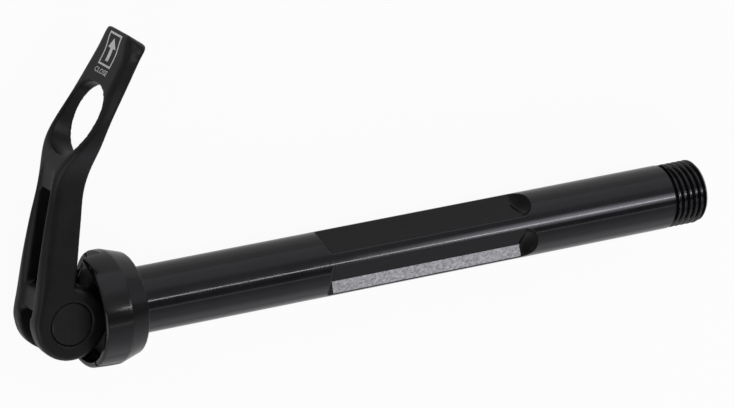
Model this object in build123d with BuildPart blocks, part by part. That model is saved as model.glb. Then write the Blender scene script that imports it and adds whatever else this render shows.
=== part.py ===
"""Bicycle thru axle, 15 mm, with a split expanding head cup and a quick-release cam lever, shut.

Units are millimetres. X runs along the axle from the head to the thread, and X = 0 is the cup's face on
the fork side. Y is the way the shut lever points. Z is the lever's pivot axis and points up: the axle
lies on its side, as it comes to rest on a table.
"""
import os
from math import cos, radians, sin, sqrt
from build123d import *

os.makedirs("parts", exist_ok=True)

# Shaft
shaft_d = 15.0
shaft_len = 148.0
thread_len = 9.0
thread_major_d = 14.85
thread_relief_d = 13.2
thread_relief_len = 0.8
tip_chamfer = 0.7
bore_d = 9.5
bore_end_x = 4.0
bore_chamfer = 0.4
spigot_d = 12.0

# The four milled flats: where each starts and ends on the shaft's skin. The head side ends in a short step,
# the thread side in a long run-out.
flat_across = 12.34
flat_start_x = 47.3
flat_end_x = 101.8
flat_step_r = 1.5
flat_runout_r = 5.0
flat_clock = -21.4

# Head cup
cup_d = 26.0
cup_wall = 1.5
cup_rim_x = -11.0
cup_crease_x = -4.75
cup_face_d = 23.0
cup_floor_x = -3.2
cup_rim_chamfer = 0.35
seat_start_x = -6.8
seat_end_r = 9.8
slot_clock = 121.0
slot_width = 14.4
slot_floor_x = -6.6
slit_width = 0.5
slit_end_x = -4.9

# Pivot, screw and fits
pivot_x = -16.5
barrel_d = 9.7
running_gap = 0.05
lever_base_w = 13.34
barrel_len = lever_base_w - 0.04
screw_d = 5.0
thread_gap = 0.02
screw_head_d = 8.5
screw_head_len = 5.0
screw_hex_af = 2.5
screw_hex_depth = 2.5
screw_tip_x = pivot_x - 4.2
screw_hole_d = screw_d + 0.6
washer_t = 1.0
washer_d = 9.2

# Cam: its radius falls evenly as the lever opens, so the wedge follows the angle in a fixed ratio
cam_r = 9.0
cam_fall = 0.6

# Pad, wedge and spring
pad_x = pivot_x + cam_r + running_gap
pad_t = 1.1
pad_d = 19.0
wedge_gap = 0.15
wedge_end_x = -3.9
wedge_recess_d = 16.4
spring_t = 0.6
spring_d = 15.6
spring_hole_d = 7.0
spring_h = 1.95

# Lever
arm_slot_w = 5.2
arm_slot_top = 29.6
handle_dir = (0.597, 0.802)
window_centre = (-10.7, 45.15)
window_tilt = 24.0
handle_tip = 20.9
tip_half_w = 6.45
tip_corner_r = 2.5
tip_taper = 1.6
inner_round = 1.0
round_flats = 3
rim_chamfer = 0.8
base_step = 0.02
mouth_start = (-24.6, 2.0)
mouth_dir = (0.1947, 0.9809)
mouth_depth = 0.5
mouth_len = 37.0

shaft_r = shaft_d / 2
cup_r = cup_d / 2
cavity_r = cup_r - cup_wall
thread_start_x = shaft_len - thread_len
wedge_start_x = pad_x + pad_t
seat_slope = (cavity_r - seat_end_r) / (cup_floor_x - seat_start_x)


def clock_plane(clock):
    """Plane through the axle's axis: its X runs along the axle and its Y points to this clock angle.

    Clock zero is straight up and 90 degrees is toward the lever.
    """
    a = radians(clock)
    return Plane(origin=(0, 0, 0), x_dir=(1, 0, 0), z_dir=(0, -cos(a), sin(a)))


def cam_point(angle):
    """Point of the cam's outline at this angle about the pivot, from 0 (shut) down to -180 degrees."""
    r = cam_r + cam_fall * angle / 180
    return (pivot_x + r * cos(radians(angle)), r * sin(radians(angle)))


def runout(r):
    """How far a flat's end of this radius reaches along the shaft before it leaves the skin."""
    return sqrt(r**2 - (r + flat_across / 2 - shaft_r) ** 2)


# Shaft: turned profile with the bore, then four milled flats with round ends
cutter_start_x = flat_start_x + runout(flat_step_r) - flat_step_r
cutter_end_x = flat_end_x - runout(flat_runout_r) + flat_runout_r

with BuildPart() as shaft:
    with BuildSketch(Plane.XY):
        with BuildLine():
            Polyline(
                (cup_floor_x, screw_hole_d / 2),
                (cup_floor_x, spigot_d / 2),
                (0, spigot_d / 2),
                (0, shaft_r),
                (thread_start_x, shaft_r),
                (thread_start_x, thread_relief_d / 2),
                (thread_start_x + thread_relief_len, thread_relief_d / 2),
                (thread_start_x + thread_relief_len, thread_major_d / 2),
                (shaft_len - tip_chamfer, thread_major_d / 2),
                (shaft_len, thread_major_d / 2 - tip_chamfer),
                (shaft_len, bore_d / 2 + bore_chamfer),
                (shaft_len - bore_chamfer, bore_d / 2),
                (bore_end_x, bore_d / 2),
                (bore_end_x, screw_hole_d / 2),
                close=True,
            )
        make_face()
    revolve(axis=Axis.X)
    for quarter in range(4):
        with BuildSketch(clock_plane(flat_clock + 90 * quarter)):
            with Locations(((cutter_start_x + cutter_end_x) / 2, flat_across / 2 + flat_runout_r)):
                Rectangle(cutter_end_x - cutter_start_x, 2 * flat_runout_r)
            fillet(vertices().group_by(Axis.Y)[0].sort_by(Axis.X)[-1], flat_runout_r)
            fillet(vertices().group_by(Axis.Y)[0].sort_by(Axis.X)[0], flat_step_r)
        extrude(amount=shaft_r, both=True, mode=Mode.SUBTRACT)
shaft.part.label = "axle_shaft"
export_step(shaft.part, "parts/axle_shaft.step")

# Head cup: turned, then a slot in the rim and two slits that let it spread
with BuildPart() as cup:
    with BuildSketch(Plane.XY):
        with BuildLine():
            Polyline(
                (0, spigot_d / 2),
                (0, cup_face_d / 2),
                (cup_crease_x, cup_r),
                (cup_rim_x + cup_rim_chamfer, cup_r),
                (cup_rim_x, cup_r - cup_rim_chamfer),
                (cup_rim_x, cavity_r),
                (seat_start_x, cavity_r),
                (cup_floor_x, seat_end_r),
                (cup_floor_x, spigot_d / 2),
                close=True,
            )
        make_face()
    revolve(axis=Axis.X)
    with BuildSketch(clock_plane(slot_clock)):
        with Locations((slot_floor_x, cup_r)):
            Rectangle(10, 10, align=(Align.MAX, Align.CENTER))
    extrude(amount=slot_width / 2, both=True, mode=Mode.SUBTRACT)
    for clock in (slot_clock, slot_clock + 180):
        with BuildSketch(clock_plane(clock)):
            with Locations((slit_end_x, cup_r)):
                Rectangle(10, 10, align=(Align.MAX, Align.CENTER))
        extrude(amount=slit_width / 2, both=True, mode=Mode.SUBTRACT)
cup.part.label = "head_cup"
export_step(cup.part, "parts/head_cup.step")

# Lever arm and handle, one row per section: height, outer x, inner x, half width, round of the outer edges
arm_h = lever_base_w / 2
lever_rows = [
    (-1, -24.92, -15.7, arm_h, 1.25),
    (4, -24.5, -15.3, arm_h, 1.4),
    (9, -23.6, -14.85, 6.62, 1.8),
    (14, -22.85, -14.05, 6.27, 2.1),
    (19, -21.9, -13.2, 5.8, 2.2),
    (24, -20.8, -12.3, 5.3, 2.2),
    (29, -19.5, -11.35, 4.85, 2.1),
    (34, -17.95, -9.85, 5.45, 1.8),
    (39, -15.25, -8.55, 7.9, 1.3),
    (44, -11.05, -6.7, 8.95, 1.0),
    (49, -7.65, -3.3, 8.1, 1.0),
    (54, -4.55, 0.1, 7.3, 1.0),
    (59, -1.5, 3.6, 6.65, 1.0),
    (64, 1.5, 6.3, 6.2, 1.0),
]
shoulder_start = (-14.9, 8.5)
shoulder_middle = (-10.6, 5.95)
window_points = [
    (-8.8, 0), (-6.2, 6.1), (0, 7.4), (6.0, 5.8), (8.4, 0), (6.0, -5.8), (0, -7.4), (-6.2, -6.1),
]
tilt = radians(window_tilt)
window_plane = Plane(
    origin=(window_centre[0], window_centre[1], 0),
    x_dir=(sin(tilt), cos(tilt), 0),
    z_dir=(cos(tilt), -sin(tilt), 0),
)
handle_plane = Plane(
    origin=(window_centre[0], window_centre[1], 0),
    x_dir=(handle_dir[0], handle_dir[1], 0),
    z_dir=(handle_dir[1], -handle_dir[0], 0),
)


def corner(centre_x, centre_y, r, start):
    """Points of a quarter round about this centre, in equal flats, starting at this angle."""
    angles = [radians(start + 90 * k / round_flats) for k in range(round_flats + 1)]
    return [(centre_x + r * cos(a), centre_y + r * sin(a)) for a in angles]


def section(width, height, outer_round):
    """Outline of one section: a rectangle whose left corners have the outer round, the others the inner."""
    inner_c = width / 2 - inner_round
    outer_c = outer_round - width / 2
    return (
        corner(inner_c, height / 2 - inner_round, inner_round, 0)
        + corner(outer_c, height / 2 - outer_round, outer_round, 90)
        + corner(outer_c, outer_round - height / 2, outer_round, 180)
        + corner(inner_c, inner_round - height / 2, inner_round, 270)
    )


# Base of the lever: the shoulder and the cam, whose outline is arcs through points of its spiral.
# It is a hair thinner than the arm, so that the arm's side runs over it unbroken.
base_h = arm_h - base_step
with BuildPart() as base:
    with BuildSketch(Plane.XY.offset(-base_h)):
        with BuildLine():
            ThreePointArc(shoulder_start, shoulder_middle, cam_point(0))
            for turn in (0, -60, -120):
                ThreePointArc(cam_point(turn), cam_point(turn - 30), cam_point(turn - 60))
            Line(cam_point(-180), (pivot_x, shoulder_start[1]))
            Line((pivot_x, shoulder_start[1]), shoulder_start)
        make_face()
    extrude(amount=2 * base_h)
    round_edges = base.edges().filter_by(GeomType.CIRCLE)
    chamfer(round_edges.filter_by(lambda e: abs(e.center().Z) > base_h - base_step), rim_chamfer)

with BuildPart() as lever:
    for row_y, outer_x, inner_x, half_w, outer_round in lever_rows:
        row_mid = ((outer_x + inner_x) / 2, row_y, 0)
        with BuildSketch(Plane(origin=row_mid, x_dir=(1, 0, 0), z_dir=(0, 1, 0))):
            with BuildLine():
                Polyline(*section(inner_x - outer_x, 2 * half_w, outer_round), close=True)
            make_face()
    loft()
    add(base.part)
    # Round end of the handle, cut square to it
    with BuildSketch(handle_plane.offset(-10)):
        with Locations((handle_tip - tip_corner_r - 1.5, 0)):
            Rectangle(30, 40, align=(Align.MIN, Align.CENTER))
        with BuildSketch(mode=Mode.SUBTRACT):
            with BuildLine():
                Polyline(
                    (handle_tip - 20, tip_half_w + tip_taper),
                    (handle_tip, tip_half_w),
                    (handle_tip, -tip_half_w),
                    (handle_tip - 20, -tip_half_w - tip_taper),
                    close=True,
                )
            make_face()
            fillet(vertices().group_by(Axis.X)[-1], tip_corner_r)
    extrude(amount=20, mode=Mode.SUBTRACT)
    # Slot between the arms, all but the bridge on the outer side
    with BuildSketch(Plane.XY.offset(-arm_slot_w / 2)):
        with BuildLine():
            Polyline(
                (-5, -12),
                (-5, arm_slot_top),
                (-30, arm_slot_top),
                (-30, 5.6),
                (-24.2, 7.0),
                (-21.2, 8.6),
                (-21.2, 3.1),
                (-23.0, 2.9),
                (-30, 2.7),
                (-30, -12),
                close=True,
            )
        make_face()
    extrude(amount=arm_slot_w, mode=Mode.SUBTRACT)
    # Flared mouth of the slot along the outer face, running out in the neck
    mouth_plane = Plane(
        origin=(mouth_start[0], mouth_start[1], 0),
        x_dir=(0, 0, 1),
        z_dir=(mouth_dir[0], mouth_dir[1], 0),
    )
    with BuildSketch(mouth_plane):
        with BuildLine():
            Polyline(
                (-arm_slot_w / 2, mouth_depth),
                (arm_slot_w / 2, mouth_depth),
                (arm_slot_w / 2 + mouth_depth + 3, -3),
                (-arm_slot_w / 2 - mouth_depth - 3, -3),
                close=True,
            )
        make_face()
    extrude(amount=mouth_len, mode=Mode.SUBTRACT)
    # Bore for the barrel
    with BuildSketch(Plane.XY.offset(-12)):
        with Locations((pivot_x, 0)):
            Circle(barrel_d / 2 + running_gap)
    extrude(amount=24, mode=Mode.SUBTRACT)
    # Window through the handle
    with BuildSketch(window_plane.offset(-10)):
        with BuildLine():
            Spline(*window_points, periodic=True)
        make_face()
    extrude(amount=20, mode=Mode.SUBTRACT)
lever.part.label = "lever"
export_step(lever.part, "parts/lever.step")

# Pivot barrel: its cross hole takes the screw
with BuildPart() as barrel:
    with BuildSketch(Plane.XY.offset(-barrel_len / 2)):
        with Locations((pivot_x, 0)):
            Circle(barrel_d / 2)
    extrude(amount=barrel_len)
    chamfer(barrel.edges().filter_by(GeomType.CIRCLE), 0.25)
    with BuildSketch(Plane.YZ.offset(pivot_x - barrel_d)):
        Circle(screw_d / 2 + thread_gap)
    extrude(amount=2 * barrel_d, mode=Mode.SUBTRACT)
barrel.part.label = "pivot_barrel"
export_step(barrel.part, "parts/pivot_barrel.step")

# Draw screw: its head bears on the washer inside the shaft
washer_x = bore_end_x
head_x = washer_x + washer_t + running_gap
with BuildPart() as screw:
    with BuildSketch(Plane.XY):
        with BuildLine():
            Polyline(
                (screw_tip_x, 0),
                (screw_tip_x, screw_d / 2 - 0.4),
                (screw_tip_x + 0.4, screw_d / 2),
                (head_x, screw_d / 2),
                (head_x, screw_head_d / 2),
                (head_x + screw_head_len - 0.4, screw_head_d / 2),
                (head_x + screw_head_len, screw_head_d / 2 - 0.4),
                (head_x + screw_head_len, 0),
                close=True,
            )
        make_face()
    revolve(axis=Axis.X)
    with BuildSketch(Plane.YZ.offset(head_x + screw_head_len - screw_hex_depth)):
        RegularPolygon(screw_hex_af / 2, 6, major_radius=False)
    extrude(amount=screw_hex_depth + 1, mode=Mode.SUBTRACT)
screw.part.label = "draw_screw"
export_step(screw.part, "parts/draw_screw.step")

# Thrust washer on the shaft's inner shoulder
with BuildPart() as washer:
    with BuildSketch(Plane.YZ.offset(washer_x)):
        Circle(washer_d / 2)
        Circle(screw_hole_d / 2, mode=Mode.SUBTRACT)
    extrude(amount=washer_t)
washer.part.label = "thrust_washer"
export_step(washer.part, "parts/thrust_washer.step")

# Cam pad: the flat plate that the two cam faces press on
with BuildPart() as pad:
    with BuildSketch(Plane.YZ.offset(pad_x)):
        Circle(pad_d / 2)
        Circle(screw_hole_d / 2, mode=Mode.SUBTRACT)
    extrude(amount=pad_t)
    chamfer(pad.edges().group_by(Axis.X)[0].sort_by(SortBy.LENGTH)[-1], 0.2)
pad.part.label = "cam_pad"
export_step(pad.part, "parts/cam_pad.step")

# Expander wedge: its cone runs beside the cup's seat at an even clearance
recess_x = cup_floor_x - spring_h - running_gap


def wedge_r(x):
    """Radius of the wedge's cone at this place along the axle."""
    return cavity_r - seat_slope * (x - seat_start_x) - wedge_gap


with BuildPart() as wedge:
    with BuildSketch(Plane.XY):
        with BuildLine():
            Polyline(
                (wedge_start_x, screw_hole_d / 2),
                (wedge_start_x, wedge_r(wedge_start_x)),
                (wedge_end_x, wedge_r(wedge_end_x)),
                (wedge_end_x, wedge_recess_d / 2),
                (recess_x, wedge_recess_d / 2),
                (recess_x, screw_hole_d / 2),
                close=True,
            )
        make_face()
    revolve(axis=Axis.X)
wedge.part.label = "expander_wedge"
export_step(wedge.part, "parts/expander_wedge.step")

# Return spring: a disc spring between the cup's floor and the wedge
with BuildPart() as spring:
    with BuildSketch(Plane.XY):
        with BuildLine():
            Polyline(
                (cup_floor_x - spring_h, spring_hole_d / 2),
                (cup_floor_x - spring_t, spring_d / 2),
                (cup_floor_x, spring_d / 2),
                (cup_floor_x - spring_h + spring_t, spring_hole_d / 2),
                close=True,
            )
        make_face()
    revolve(axis=Axis.X)
spring.part.label = "return_spring"
export_step(spring.part, "parts/return_spring.step")
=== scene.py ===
"""Thru axle with a quick-release lever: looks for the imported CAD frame.

X runs along the axle to the thread, Y is the way the shut lever points, Z is up. Sizes of the pieces are in
millimetres, and become metres in their meshes. Lamps and the floor are in metres.
"""
from math import cos, pi, radians, sin, sqrt

import bmesh
import bpy
import numpy as np
from mathutils import Matrix, Vector


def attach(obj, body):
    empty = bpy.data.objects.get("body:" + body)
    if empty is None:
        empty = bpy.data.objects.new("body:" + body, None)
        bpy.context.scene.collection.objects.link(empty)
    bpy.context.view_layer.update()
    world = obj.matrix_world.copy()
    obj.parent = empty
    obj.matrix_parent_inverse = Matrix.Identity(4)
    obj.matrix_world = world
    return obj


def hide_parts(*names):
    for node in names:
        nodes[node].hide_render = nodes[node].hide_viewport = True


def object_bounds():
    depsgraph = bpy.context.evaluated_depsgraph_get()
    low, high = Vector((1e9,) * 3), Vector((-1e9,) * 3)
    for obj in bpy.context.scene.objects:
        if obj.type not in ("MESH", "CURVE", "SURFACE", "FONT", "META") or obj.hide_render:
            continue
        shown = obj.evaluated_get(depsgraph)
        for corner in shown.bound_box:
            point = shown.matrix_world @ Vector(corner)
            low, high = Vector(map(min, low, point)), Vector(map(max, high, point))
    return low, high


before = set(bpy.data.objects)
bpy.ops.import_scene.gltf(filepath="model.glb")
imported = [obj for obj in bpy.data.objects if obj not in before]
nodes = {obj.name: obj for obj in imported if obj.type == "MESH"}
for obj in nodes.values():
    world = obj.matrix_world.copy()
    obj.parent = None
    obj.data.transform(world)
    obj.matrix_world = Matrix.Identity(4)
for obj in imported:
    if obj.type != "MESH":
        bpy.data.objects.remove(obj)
start_bounds = [list(corner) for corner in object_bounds()]

MM = 0.001
MICRON = 0.000001

# Sizes that repeat the CAD's
SHAFT_R = 7.5
SHAFT_END = 148.0
SPIGOT_X = -3.2
SPIGOT_R = 6.0
SCREW_HOLE_R = 2.8
BORE_R = 4.75
BORE_END = 4.0
BORE_CHAMFER = 0.4
THREAD_START = 139.0
THREAD_RELIEF = 0.8
THREAD_RELIEF_R = 6.6
THREAD_R = 7.425
THREAD_PITCH = 1.5
TIP_CHAMFER = 0.7
FLAT_DIST = 6.17
FLAT_START = 47.3
FLAT_END = 101.8
FLAT_STEP_R = 1.5
FLAT_RUNOUT_R = 5.0
FLAT_CLOCK = -21.4
FLATS = 4

# Thread: its depth, and the shares of the pitch that the crest and the two flanks take
THREAD_DEPTH = 0.85
THREAD_CREST = 0.16
THREAD_FLANKS = 0.62

# Breaks of edges: before the thread's groove, and half the width along a flat, in degrees round the shaft
GROOVE_CHAMFER = 0.15
EDGE_EASE = 0.6

# Round pocket that the cutter leaves in a flat's far end: its middle, half its length and width, its depth
POCKET_X = 99.4
POCKET_HALF = (2.2, 3.1)
POCKET_DEPTH = 0.6

# The shaft's net: its rows, how far rows keep from a flat's ends, the pocket and the thread, how far off
# a row may be and still count, its columns, the angle that stays sharp, and the kinds of rows and faces
STEP_ROWS = 22
LEVEL_ROWS = 8
TAIL_ROWS = 40
THREAD_ROWS = 110
LEVEL_GAP = 4.0
FLAT_MARGIN = 0.3
POCKET_MARGIN = 0.1
THREAD_MARGINS = (0.02, 0.05)
ROW_SLACK = 0.01
FLAT_COLUMNS = 41
RIDGE_COLUMNS = 13
SHARP_ANGLE = 12
PLAIN_ROW, FLAT_ROW, THREAD_ROW = range(3)
TURNED_FACE, MILLED_FACE, END_FACE, BREAK_FACE = range(4)

# Silver strip on one flat: along the axle, across the flat from its middle line, the lean of its ends,
# its height above the flat, and its rows and columns
STRIP_X = (49.1, 98.1)
STRIP_ACROSS = (-3.9, -0.2)
STRIP_LEAN = -0.3
STRIP_LIFT = 0.02
STRIP_NET = (120, 16)

# Handle's outer face: a point on it in x and y, its direction, and how far a print stands off it
FACE_POINT = (-4.55, 54.0)
FACE_DIR = (0.5176, 0.8556)
MARK_LIFT = 0.02

# Frame, arrow and word on that face: a bar's rows and columns, distances along the face, half widths,
# the frame's line, and the steps in a letter's curve
BAR_NET = (25, 9)
FRAME_ALONG = (1.7, 9.3)
FRAME_HALF_W = 2.8
FRAME_LINE = 0.42
ARROW_FOOT = 2.9
ARROW_NECK = 5.9
ARROW_TOP = 8.2
STEM_HALF_W = 0.62
HEAD_HALF_W = 1.75
POINT_HALF_W = 0.02
WORD = "CLOSE"
WORD_BASE = -0.15
WORD_HEIGHT = 1.15
WORD_WIDTH = 5.7
LETTER_STEPS = 3

# Soft edges of the lever and the cup: how close two corners are one point, the net's cell,
# how often its points are evened out, and the share of the way that each point moves
SAME_POINT = 0.001
LEVER_CELL = 0.3
LEVER_ROUNDS = 16
CUP_CELL = 0.18
CUP_ROUNDS = 6
ROUND_SHARE = 0.5

# The cup's outer band: its ends, how far it bows in at the rim, and the radii over which the bow sets in
CUP_CREASE_X = -4.75
CUP_RIM_X = -11.0
CUP_BOW = 0.3
CUP_BAND_R = (11.6, 12.7)

# Noise: the span that most of it lies in, and the stretch by axis that makes it even, turned or milled
NOISE_SPAN = (0.35, 0.65)
EVEN = (1.0, 1.0, 1.0)
TURNED = (1.0, 0.02, 0.02)
MILLED = (0.03, 1.0, 1.0)
GRAIN_STRENGTH = 0.35

# Floor: half its side, its grey, how much of it is plain white to the camera, and how much of that in mirrors
FLOOR_HALF = 3.0
FLOOR_GREY = 0.8
FLOOR_WHITE = 0.93
FLOOR_IN_MIRRORS = 0.4

# Sky: its level by the direction's Y, from the front of the axle to the back, and its tint
SKY = (
    (-1.0, 1.3), (-0.7, 0.9), (-0.4, 0.65), (-0.1, 0.22), (0.05, 0.26), (0.22, 0.75), (0.55, 0.61),
    (0.75, 1.09), (1.0, 1.23),
)
SKY_TINT = (0.95, 0.95, 1.0)

# Camera fitted to the photograph, in millimetres and pixels
CAMERA_AT = (-451.65, 375.13, 939.88)
CAMERA_RIGHT = (0.87509, -0.01645, 0.48368)
CAMERA_UP = (0.16898, 0.94691, -0.27351)
FOCAL_PX = 5000.0
IMAGE_W = 734
SENSOR_MM = 36.0


def node_of(tree, kind, **inputs):
    """Adds a shader node and sets its inputs by name."""
    n = tree.nodes.new(kind)
    for name, value in inputs.items():
        n.inputs[name].default_value = value
    return n


def math_of(tree, operation, first, second):
    """Adds a math node on two values, each a socket or a plain number, and gives its result's socket."""
    n = tree.nodes.new("ShaderNodeMath")
    n.operation = operation
    for socket, value in zip(n.inputs, (first, second)):
        if isinstance(value, float):
            socket.default_value = value
        else:
            tree.links.new(value, socket)
    return n.outputs[0]


def noise_on(tree, scale, stretch, **inputs):
    """Noise in object coordinates, in cells per metre, after the coordinates are stretched axis by axis."""
    where = tree.nodes.new("ShaderNodeTexCoord")
    place = node_of(tree, "ShaderNodeMapping", Scale=stretch)
    noise = node_of(tree, "ShaderNodeTexNoise", Scale=scale, **inputs)
    tree.links.new(where.outputs["Object"], place.inputs["Vector"])
    tree.links.new(place.outputs["Vector"], noise.inputs["Vector"])
    return noise


def add_grain(m, scale, height, stretch=EVEN):
    """Fine bump from noise, with its height in microns."""
    t = m.node_tree
    p = t.nodes["Principled BSDF"]
    noise = noise_on(t, scale, stretch, Detail=3.0)
    bump = node_of(t, "ShaderNodeBump", Strength=GRAIN_STRENGTH, Distance=height * MICRON)
    t.links.new(noise.outputs["Fac"], bump.inputs["Height"])
    t.links.new(bump.outputs["Normal"], p.inputs["Normal"])


def add_patches(m, scale, shade, dull, stretch=EVEN):
    """Uneven finish from noise: the colour goes up and down by a share, and the roughness by an amount."""
    t = m.node_tree
    p = t.nodes["Principled BSDF"]
    colour = p.inputs["Base Color"].default_value[:3]
    rough = p.inputs["Roughness"].default_value
    noise = noise_on(t, scale, stretch, Detail=4.0, Roughness=0.7)
    ramp = t.nodes.new("ShaderNodeValToRGB")
    for stop, at, level in zip(ramp.color_ramp.elements, NOISE_SPAN, (1 - shade, 1 + shade)):
        stop.position = at
        stop.color = (*(level * c for c in colour), 1)
    low, high = NOISE_SPAN
    polish = node_of(t, "ShaderNodeMapRange", **{
        "From Min": low, "From Max": high, "To Min": rough - dull, "To Max": rough + dull,
    })
    t.links.new(noise.outputs["Fac"], ramp.inputs["Fac"])
    t.links.new(noise.outputs["Fac"], polish.inputs["Value"])
    t.links.new(ramp.outputs["Color"], p.inputs["Base Color"])
    t.links.new(polish.outputs["Result"], p.inputs["Roughness"])


def new_finish(name, colour, roughness, patches, grain, metallic=0.0, specular=0.5):
    """Material with plain values on the shader's own sockets, then patches and grain over them."""
    m = bpy.data.materials.new(name)
    m.use_nodes = True
    p = m.node_tree.nodes["Principled BSDF"]
    p.inputs["Base Color"].default_value = (*colour, 1.0)
    p.inputs["Roughness"].default_value = roughness
    p.inputs["Metallic"].default_value = metallic
    p.inputs["Specular IOR Level"].default_value = specular
    add_patches(m, *patches)
    add_grain(m, *grain)
    return m


def dress(obj, materials):
    """Gives an object its materials, in the order of its faces' indices."""
    index = np.zeros(len(obj.data.polygons), dtype=np.int32)
    obj.data.polygons.foreach_get("material_index", index)
    obj.data.materials.clear()
    for material in materials:
        obj.data.materials.append(material)
    if len(materials) > 1:
        obj.data.polygons.foreach_set("material_index", index)


def add_object(name, data):
    """Puts data into the scene as an object at the origin."""
    obj = bpy.data.objects.new(name, data)
    bpy.context.scene.collection.objects.link(obj)
    return obj


def finished_mesh(obj):
    """The mesh of an object with its modifiers applied."""
    return bpy.data.meshes.new_from_object(obj.evaluated_get(bpy.context.evaluated_depsgraph_get()))


def grid_mesh(name, grids, close_u=False, close_v=False):
    """Mesh object of quads from one or more arrays of points [rows, columns, 3], in millimetres."""
    points, quads, first = [], [], 0
    for grid in grids:
        rows, cols = grid.shape[:2]
        index = first + np.arange(rows * cols).reshape(rows, cols)
        i = np.arange(rows if close_u else rows - 1)
        j = np.arange(cols if close_v else cols - 1)
        ii, jj = np.meshgrid(i, j, indexing="ij")
        i2, j2 = (ii + 1) % rows, (jj + 1) % cols
        corners = [index[ii, jj], index[ii, j2], index[i2, j2], index[i2, jj]]
        quads.append(np.stack(corners, axis=-1).reshape(-1, 4))
        points.append(grid.reshape(-1, 3))
        first += rows * cols
    points, quads = np.concatenate(points), np.concatenate(quads)
    mesh = bpy.data.meshes.new(name)
    mesh.vertices.add(len(points))
    mesh.vertices.foreach_set("co", (points * MM).reshape(-1))
    mesh.loops.add(quads.size)
    mesh.loops.foreach_set("vertex_index", quads.reshape(-1))
    mesh.polygons.add(len(quads))
    mesh.polygons.foreach_set("loop_start", np.arange(0, quads.size, 4))
    mesh.update(calc_edges=True)
    mesh.validate()
    return add_object(name, mesh)


def runout(r):
    """How far a flat's end of this radius reaches along the shaft before it leaves the skin."""
    return sqrt(r**2 - (r + FLAT_DIST - SHAFT_R) ** 2)


def flat_depth(x):
    """Distance of the milled floor from the axis at x: level between the ends, and a circle at each end."""
    step = np.clip(FLAT_START + runout(FLAT_STEP_R) - x, 0, FLAT_STEP_R)
    tail = np.clip(x - FLAT_END + runout(FLAT_RUNOUT_R), 0, FLAT_RUNOUT_R)
    rise = FLAT_STEP_R - np.sqrt(FLAT_STEP_R**2 - step**2)
    return FLAT_DIST + rise + FLAT_RUNOUT_R - np.sqrt(FLAT_RUNOUT_R**2 - tail**2)


def pocket_drop(x, across):
    """How far a flat's far end sinks below its floor: a shallow bowl, round in plan, deepest in its middle.

    The drop is the depth times one less the squares of the shares of the half length and the half width.
    """
    bowl = 1 - ((x - POCKET_X) / POCKET_HALF[0]) ** 2 - (across / POCKET_HALF[1]) ** 2
    return POCKET_DEPTH * np.clip(bowl, 0, 1)


def thread_radius(x, angle):
    """Radius of the thread: a 60 degree ridge with flat crest and root, which climbs one pitch each turn."""
    phase = np.mod((x - THREAD_START) / THREAD_PITCH - angle / (2 * pi), 1.0)
    ridge = np.abs(2 * phase - 1)
    cut = np.clip((ridge - THREAD_CREST) / THREAD_FLANKS, 0, 1)
    r = THREAD_R - THREAD_DEPTH * cut
    return np.minimum(r, THREAD_R - np.maximum(x - (SHAFT_END - TIP_CHAMFER), 0))


def shaft_rows():
    """The shaft's profile, from the screw's hole over the outside and back through the bore.

    Gives each row's place along the axle, its radius and its kind. Rows crowd at the ends of the flats.
    """
    turn = np.linspace(0, 1, STEP_ROWS)
    step = FLAT_START + runout(FLAT_STEP_R) * (1 - np.cos(turn * pi / 2))
    tail = np.linspace(POCKET_X - POCKET_HALF[0] - POCKET_MARGIN, FLAT_END, TAIL_ROWS)
    level = np.linspace(step[-1] + LEVEL_GAP, tail[0] - LEVEL_GAP, LEVEL_ROWS)
    before, after = THREAD_MARGINS
    turns = np.linspace(THREAD_START + THREAD_RELIEF + before, SHAFT_END - after, THREAD_ROWS)
    stretches = (
        (PLAIN_ROW, [
            (SPIGOT_X, SCREW_HOLE_R), (SPIGOT_X, SPIGOT_R), (0, SPIGOT_R), (0, SHAFT_R),
            (FLAT_START - FLAT_MARGIN, SHAFT_R),
        ]),
        (FLAT_ROW, [(x, SHAFT_R) for x in np.concatenate([step, level, tail])]),
        (PLAIN_ROW, [
            (FLAT_END + FLAT_MARGIN, SHAFT_R), (THREAD_START - GROOVE_CHAMFER, SHAFT_R),
            (THREAD_START, SHAFT_R - GROOVE_CHAMFER), (THREAD_START, THREAD_RELIEF_R),
            (THREAD_START + THREAD_RELIEF, THREAD_RELIEF_R),
        ]),
        (THREAD_ROW, [(x, THREAD_R) for x in turns]),
        (PLAIN_ROW, [
            (SHAFT_END, THREAD_R - TIP_CHAMFER), (SHAFT_END, BORE_R + BORE_CHAMFER),
            (SHAFT_END - BORE_CHAMFER, BORE_R), (BORE_END, BORE_R), (BORE_END, SCREW_HOLE_R),
        ]),
    )
    rows = [(x, r, kind) for kind, stretch in stretches for x, r in stretch]
    return [np.array(values) for values in zip(*rows)]


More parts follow.
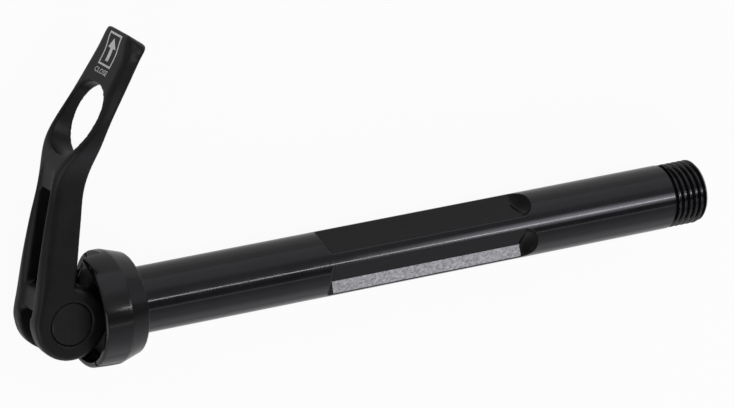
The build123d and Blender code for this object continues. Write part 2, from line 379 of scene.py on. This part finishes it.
def build_shaft():
    """The shaft's whole skin, as a closed loop of profile rows swept round the axis.

    Between the ends of the flats the radius is the smaller of the shaft's and the floor's distance over the
    cosine of the angle from the flat's middle. Columns follow the flats' edges, one on each side, so that a
    narrow break runs along them. In the thread the radius is the helix's. Faces carry the number of their
    finish: turned, milled, a flat's end, whose darker colour is painted shade, or the break, whose lighter
    colour is a painted highlight line.
    """
    x, r, kind = (values[:, None] for values in shaft_rows())
    flat_row, thread_row = kind == FLAT_ROW, kind == THREAD_ROW
    depth = np.where(flat_row, flat_depth(x), SHAFT_R)
    ease, half = radians(EDGE_EASE), pi / FLATS
    edge = np.maximum(np.arccos(np.clip(depth / SHAFT_R, -1, 1)), 2 * ease)
    on_flat = np.linspace(-1, 1, FLAT_COLUMNS) * (edge - ease)
    on_ridge = edge + ease + np.linspace(0, 1, RIDGE_COLUMNS) * 2 * (half - edge - ease)
    quarter = np.concatenate([on_flat, on_ridge], axis=1)
    middles = radians(FLAT_CLOCK) + 2 * half * np.arange(FLATS)
    clock = (middles[:, None] + quarter[:, None, :]).reshape(len(x), -1)
    off = np.tile(np.where(quarter < half, quarter, quarter - 2 * half), FLATS)
    drop = pocket_drop(x, depth * np.tan(off))
    floor = (depth - drop) / np.cos(off)
    helix = thread_radius(x, pi / 2 - clock)
    radius = np.where(flat_row, np.minimum(r, floor), np.where(thread_row, helix, r))
    points = np.stack([x + 0 * clock, radius * np.sin(clock), radius * np.cos(clock)], axis=-1)
    obj = grid_mesh("shaft_skin", [points], close_u=True, close_v=True)
    obj.data.shade_smooth()
    obj.data.set_sharp_from_angle(angle=radians(SHARP_ANGLE))

    milled = flat_row & np.roll(flat_row, -1, axis=0)
    level_start = FLAT_START + runout(FLAT_STEP_R) - ROW_SLACK
    between = (x >= level_start) & (x < FLAT_END - runout(FLAT_RUNOUT_R))
    # Faces of a flat's ends take the far darker material, which is painted shade in the step and the pocket
    floor_face = np.where(between & (drop <= 0), MILLED_FACE, END_FACE)
    column = np.arange(clock.shape[1]) % quarter.shape[1]
    in_flat = column < FLAT_COLUMNS - 1
    # The break's faces take the lighter material, a painted highlight line along the flat's edge
    on_edge = (column == FLAT_COLUMNS - 1) | (column == quarter.shape[1] - 1)
    finish = np.select([milled & in_flat, milled & on_edge], [floor_face, BREAK_FACE], TURNED_FACE)
    obj.data.polygons.foreach_set("material_index", finish.astype(np.int32).reshape(-1))
    return obj


def eased_copy(node, name, cell, rounds):
    """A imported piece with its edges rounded.

    Its faces are joined and cut again into an even net of small cells. Each point then moves half way to the
    mean of its neighbours, a few times over, which rounds the edges by a few cells.
    """
    mesh = nodes[node].data.copy()
    net = bmesh.new()
    net.from_mesh(mesh)
    bmesh.ops.remove_doubles(net, verts=net.verts, dist=SAME_POINT * MM)
    net.to_mesh(mesh)
    net.free()
    rough = add_object(name + "_rough", mesh)
    cut = rough.modifiers.new("cells", "REMESH")
    cut.mode = "VOXEL"
    cut.voxel_size = cell * MM
    even = rough.modifiers.new("rounds", "SMOOTH")
    even.factor = ROUND_SHARE
    even.iterations = rounds
    made = finished_mesh(rough)
    bpy.data.objects.remove(rough)
    made.name = name
    made.shade_smooth()
    return add_object(name, made)


def build_cup():
    """The split cup with its edges eased and its outer band bowed.

    A point of the band, whose distance from the axis is close to the cup's radius, moves inwards by the bow
    times the square of its share of the way from the crease to the rim.
    """
    obj = eased_copy("head_cup", "cup_skin", CUP_CELL, CUP_ROUNDS)
    points = np.empty(len(obj.data.vertices) * 3, dtype=np.float32)
    obj.data.vertices.foreach_get("co", points)
    points = points.reshape(-1, 3)
    r = np.hypot(points[:, 1], points[:, 2])
    way = np.clip((CUP_CREASE_X * MM - points[:, 0]) / ((CUP_CREASE_X - CUP_RIM_X) * MM), 0, 1)
    share = np.clip((r / MM - CUP_BAND_R[0]) / (CUP_BAND_R[1] - CUP_BAND_R[0]), 0, 1)
    points[:, 1:] *= (1 - CUP_BOW * MM * share * way**2 / r)[:, None]
    obj.data.vertices.foreach_set("co", points.reshape(-1))
    obj.data.update()
    return obj


def build_strip():
    """Patch on the lower half of one milled flat, a hair above it, which follows it into the pocket's rim."""
    c = radians(FLAT_CLOCK)
    rows, cols = STRIP_NET
    along = np.linspace(*STRIP_X, rows)[:, None]
    s = np.linspace(*STRIP_ACROSS, cols)[None, :]
    x = along + STRIP_LEAN * (s - sum(STRIP_ACROSS) / 2)
    out = FLAT_DIST + STRIP_LIFT - pocket_drop(x, s)
    points = np.stack([x, out * sin(c) + s * cos(c), out * cos(c) - s * sin(c)], axis=-1)
    return grid_mesh("flat_strip", [points])


def on_handle(along, across):
    """Points of the handle's outer face from distances along it and across it, lifted by a hair."""
    out = np.array([-FACE_DIR[1], FACE_DIR[0], 0.0])
    start = np.array([*FACE_POINT, 0.0]) + out * MARK_LIFT
    way = np.array([*FACE_DIR, 0.0])
    side = np.array([0.0, 0.0, 1.0])
    return start + along[..., None] * way + across[..., None] * side


def handle_bar(half_low, half_high, low, high, middle=0.0):
    """Grid of a bar on the handle's face, whose half width runs evenly from one end's to the other's."""
    rows, cols = BAR_NET
    t = np.linspace(0, 1, rows)[:, None]
    s = np.linspace(-1, 1, cols)[None, :]
    half = half_low + (half_high - half_low) * t
    return on_handle(low + (high - low) * t + 0 * s, middle + s * half)


def build_mark():
    """A thin frame with a plain arrow in it that points to the handle's tip, which is the way it closes."""
    low, high = FRAME_ALONG
    w, line = FRAME_HALF_W, FRAME_LINE
    return grid_mesh("handle_mark", [
        handle_bar(line / 2, line / 2, low, high, line / 2 - w),
        handle_bar(line / 2, line / 2, low, high, w - line / 2),
        handle_bar(w - line, w - line, low, low + line),
        handle_bar(w - line, w - line, high - line, high),
        handle_bar(STEM_HALF_W, STEM_HALF_W, ARROW_FOOT, ARROW_NECK),
        handle_bar(HEAD_HALF_W, POINT_HALF_W, ARROW_NECK, ARROW_TOP),
    ])


def build_word():
    """The short word under the frame, set in the plain built-in letters and laid flat on the face."""
    curve = bpy.data.curves.new("mark_word", "FONT")
    curve.body = WORD
    curve.resolution_u = LETTER_STEPS
    letters = add_object("mark_word_letters", curve)
    bpy.context.view_layer.update()
    mesh = bpy.data.meshes.new_from_object(letters)
    bpy.data.objects.remove(letters)
    flat = np.empty(len(mesh.vertices) * 3)
    mesh.vertices.foreach_get("co", flat)
    flat = flat.reshape(-1, 3)
    low, high = flat.min(axis=0), flat.max(axis=0)
    across = ((flat[:, 0] - low[0]) / (high[0] - low[0]) - 0.5) * WORD_WIDTH
    along = WORD_BASE + (flat[:, 1] - low[1]) / (high[1] - low[1]) * WORD_HEIGHT
    mesh.vertices.foreach_set("co", (on_handle(along, across) * MM).reshape(-1))
    mesh.update()
    return add_object("mark_word", mesh)


def lay_on(obj, target):
    """Moves a printed piece's points onto a surface, a hair above it."""
    wrap = obj.modifiers.new("lay", "SHRINKWRAP")
    wrap.target = target
    wrap.wrap_method = "NEAREST_SURFACEPOINT"
    wrap.wrap_mode = "ABOVE_SURFACE"
    wrap.offset = MARK_LIFT * MM
    made = finished_mesh(obj)
    obj.modifiers.clear()
    obj.data = made


def lay_floor(z):
    """Large pale square: grey to the light, nearly all white to the camera, and in part white in mirrors."""
    s = FLOOR_HALF
    mesh = bpy.data.meshes.new("floor")
    mesh.from_pydata([(-s, -s, z), (s, -s, z), (s, s, z), (-s, s, z)], [], [(0, 1, 2, 3)])
    obj = add_object("floor", mesh)
    m = bpy.data.materials.new("pale_floor")
    m.use_nodes = True
    t = m.node_tree
    t.nodes.clear()
    surface = t.nodes.new("ShaderNodeOutputMaterial")
    grey = node_of(t, "ShaderNodeBsdfDiffuse", Color=(FLOOR_GREY, FLOOR_GREY, FLOOR_GREY, 1))
    white = node_of(t, "ShaderNodeEmission", Color=(1, 1, 1, 1), Strength=1.0)
    mix = t.nodes.new("ShaderNodeMixShader")
    ray = t.nodes.new("ShaderNodeLightPath").outputs
    mirrored = math_of(t, "MAXIMUM", ray["Is Glossy Ray"], ray["Is Transmission Ray"])
    dimmed = math_of(t, "MULTIPLY", mirrored, FLOOR_IN_MIRRORS)
    seen = math_of(t, "MAXIMUM", ray["Is Camera Ray"], dimmed)
    t.links.new(math_of(t, "MULTIPLY", seen, FLOOR_WHITE), mix.inputs[0])
    t.links.new(grey.outputs[0], mix.inputs[1])
    t.links.new(white.outputs[0], mix.inputs[2])
    t.links.new(mix.outputs[0], surface.inputs["Surface"])
    dress(obj, [m])


def light_sky():
    """Soft light from all round, whose level follows the direction's Y."""
    world = bpy.data.worlds.new("studio")
    world.use_nodes = True
    bpy.context.scene.world = world
    t = world.node_tree
    background = t.nodes["Background"]
    background.inputs["Strength"].default_value = 1.0
    way = t.nodes.new("ShaderNodeTexCoord")
    split = t.nodes.new("ShaderNodeSeparateXYZ")
    place = node_of(t, "ShaderNodeMapRange", **{"From Min": -1.0})
    ramp = t.nodes.new("ShaderNodeValToRGB")
    ramp.color_ramp.interpolation = "EASE"
    stops = ramp.color_ramp.elements
    while len(stops) < len(SKY):
        stops.new(0.5)
    for stop, (y, level) in zip(stops, SKY):
        stop.position = (y + 1) / 2
        stop.color = (*(level * c for c in SKY_TINT), 1)
    t.links.new(way.outputs["Generated"], split.inputs[0])
    t.links.new(split.outputs["Y"], place.inputs["Value"])
    t.links.new(place.outputs["Result"], ramp.inputs["Fac"])
    t.links.new(ramp.outputs["Color"], background.inputs["Color"])


def area_lamp(name, at, aim, size, power, colour=(1, 1, 1)):
    """Rectangular lamp at a place, turned to face a point, with sizes in metres and power in watts."""
    data = bpy.data.lights.new(name, "AREA")
    data.shape = "RECTANGLE"
    data.size, data.size_y = size
    data.energy = power
    data.color = colour
    obj = add_object(name, data)
    at, aim = Vector(at), Vector(aim)
    turn = (aim - at).to_track_quat("-Z", "Y")
    obj.matrix_world = Matrix.Translation(at) @ turn.to_matrix().to_4x4()
    return obj


def axle_lamp(name, at, size, power, colour=(1, 1, 1)):
    """Lamp whose first side runs along the axle, and which faces the axle's line."""
    out = Vector((0, at[1], at[2])).normalized()
    obj = area_lamp(name, at, (0, 0, 0), size, power, colour)
    turn = Matrix(((1, 0, 0), out.cross((1, 0, 0)), out)).transposed().to_4x4()
    obj.matrix_world = Matrix.Translation(Vector(at)) @ turn
    return obj


def soften(lamp):
    """Fades a lamp from nothing at its rim to full at its middle."""
    lamp.data.use_nodes = True
    t = lamp.data.node_tree
    glow = t.nodes["Emission"]
    where = t.nodes.new("ShaderNodeNewGeometry")
    reach = t.nodes.new("ShaderNodeVectorMath")
    reach.operation = "DISTANCE"
    reach.inputs[1].default_value = (0.5, 0.5, 0.0)
    fade = node_of(t, "ShaderNodeMapRange", **{
        "From Min": 0.0, "From Max": 0.5, "To Min": 1.0, "To Max": 0.0,
    })
    fade.interpolation_type = "SMOOTHSTEP"
    t.links.new(where.outputs["Parametric"], reach.inputs[0])
    t.links.new(reach.outputs["Value"], fade.inputs["Value"])
    t.links.new(fade.outputs["Result"], glow.inputs["Strength"])


def set_camera():
    """Camera at the photograph's place, with its focal length and its turn."""
    right, up = Vector(CAMERA_RIGHT), Vector(CAMERA_UP)
    data = bpy.data.cameras.new("photo_camera")
    data.sensor_fit = "HORIZONTAL"
    data.sensor_width = SENSOR_MM
    data.lens = FOCAL_PX * SENSOR_MM / IMAGE_W
    camera = add_object("photo_camera", data)
    turn = Matrix((right, up, right.cross(up))).transposed().to_4x4()
    camera.matrix_world = Matrix.Translation(Vector(CAMERA_AT) * MM) @ turn
    bpy.context.scene.camera = camera


# Finishes: colour, roughness, patches as scale, shade and dullness, and grain as scale and height
gloss_black = new_finish(
    "black_anodised_gloss", (0.0042, 0.0038, 0.0046), 0.11,
    patches=(150.0, 0.2, 0.03), grain=(5000.0, 0.4, TURNED), specular=0.28,
)
# Edge break along the flats: the black lightened as a painted highlight line along each edge, and rougher
lit_edge_black = new_finish(
    "black_anodised_edge_painted_highlight", (0.016, 0.0155, 0.0165), 0.3,
    patches=(400.0, 0.4, 0.06, MILLED), grain=(4000.0, 3.0, MILLED), specular=0.3,
)
milled_black = new_finish(
    "black_anodised_milled", (0.0105, 0.01, 0.0105), 0.42,
    patches=(2600.0, 0.22, 0.06, MILLED), grain=(4000.0, 6.0, MILLED), specular=0.1,
)
# Flat's ends, the step and the pocket: the anodised black made far darker than the flat's, as painted shade
shaded_end_black = new_finish(
    "black_anodised_end_painted_shade", (0.0015, 0.0015, 0.0015), 0.2,
    patches=(900.0, 0.2, 0.05), grain=(4000.0, 4.0, MILLED), specular=0.09,
)
cup_black = new_finish(
    "black_anodised_cup", (0.0042, 0.0038, 0.0042), 0.16,
    patches=(220.0, 0.2, 0.03), grain=(4000.0, 3.0, TURNED), specular=0.28,
)
satin_black = new_finish(
    "black_anodised_satin", (0.005, 0.005, 0.0052), 0.38,
    patches=(180.0, 0.15, 0.04), grain=(9000.0, 10.0), specular=0.16,
)
barrel_black = new_finish(
    "black_barrel", (0.0058, 0.0058, 0.0058), 0.42,
    patches=(700.0, 0.2, 0.05), grain=(6000.0, 6.0), specular=0.18,
)
oxide_steel = new_finish(
    "oxide_steel", (0.06, 0.06, 0.062), 0.4,
    patches=(600.0, 0.3, 0.08), grain=(5000.0, 4.0, TURNED), metallic=1.0,
)
bright_steel = new_finish(
    "spring_steel", (0.45, 0.45, 0.46), 0.3,
    patches=(900.0, 0.15, 0.06), grain=(6000.0, 3.0), metallic=1.0,
)
brass = new_finish(
    "washer_brass", (0.55, 0.4, 0.16), 0.35,
    patches=(700.0, 0.2, 0.08), grain=(6000.0, 4.0), metallic=1.0,
)
# Pad: black plastic, darkened below its own tone as painted shade inside the cup
shaded_pad_plastic = new_finish(
    "shaded_pad_plastic", (0.004, 0.004, 0.004), 0.5,
    patches=(500.0, 0.2, 0.06), grain=(5000.0, 12.0), specular=0.1,
)
silver = new_finish(
    "satin_silver", (0.33, 0.325, 0.335), 0.5,
    patches=(1300.0, 0.45, 0.1), grain=(2600.0, 10.0), specular=0.3,
)
print_grey = new_finish(
    "printed_grey", (0.45, 0.44, 0.43), 0.6,
    patches=(2500.0, 0.18, 0.08), grain=(6000.0, 6.0),
)

# Pieces
shaft = build_shaft()
dress(shaft, [gloss_black, milled_black, shaded_end_black, lit_edge_black])
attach(shaft, "axle")
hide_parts("axle_shaft")

strip = build_strip()
dress(strip, [silver])
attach(strip, "axle")

cup = build_cup()
dress(cup, [cup_black])
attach(cup, "axle")
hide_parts("head_cup")

for node, material, slot in (
    ("pivot_barrel", barrel_black, "barrel"),
    ("draw_screw", oxide_steel, "screw"),
    ("thrust_washer", brass, "washer"),
    ("cam_pad", shaded_pad_plastic, "pad"),
    ("expander_wedge", oxide_steel, "wedge"),
    ("return_spring", bright_steel, "spring"),
):
    dress(nodes[node], [material])

lever = eased_copy("lever", "lever_skin", LEVER_CELL, LEVER_ROUNDS)
dress(lever, [satin_black])
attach(lever, "lever")
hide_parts("lever")

for piece in (build_mark(), build_word()):
    lay_on(piece, lever)
    dress(piece, [print_grey])
    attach(piece, "lever")

# Floor, light and camera
lay_floor(start_bounds[0][2])
light_sky()
axle_lamp("key_strip", (0.68, 0.209, 0.9655), (0.68, 0.035), 1.47)
soften(axle_lamp("key_glow", (0.67, 0.24, 0.95), (0.32, 0.62), 5.0, (0.88, 0.89, 1.0)))
axle_lamp("fill_strip", (0.569, -0.31, 0.93), (0.9, 0.04), 0.19)
area_lamp("left_soft", (-0.95, -0.35, 0.5), (0.07, 0.0, 0.0), (0.7, 0.7), 3.2)
set_camera()
bpy.context.scene.view_settings.view_transform = "Standard"
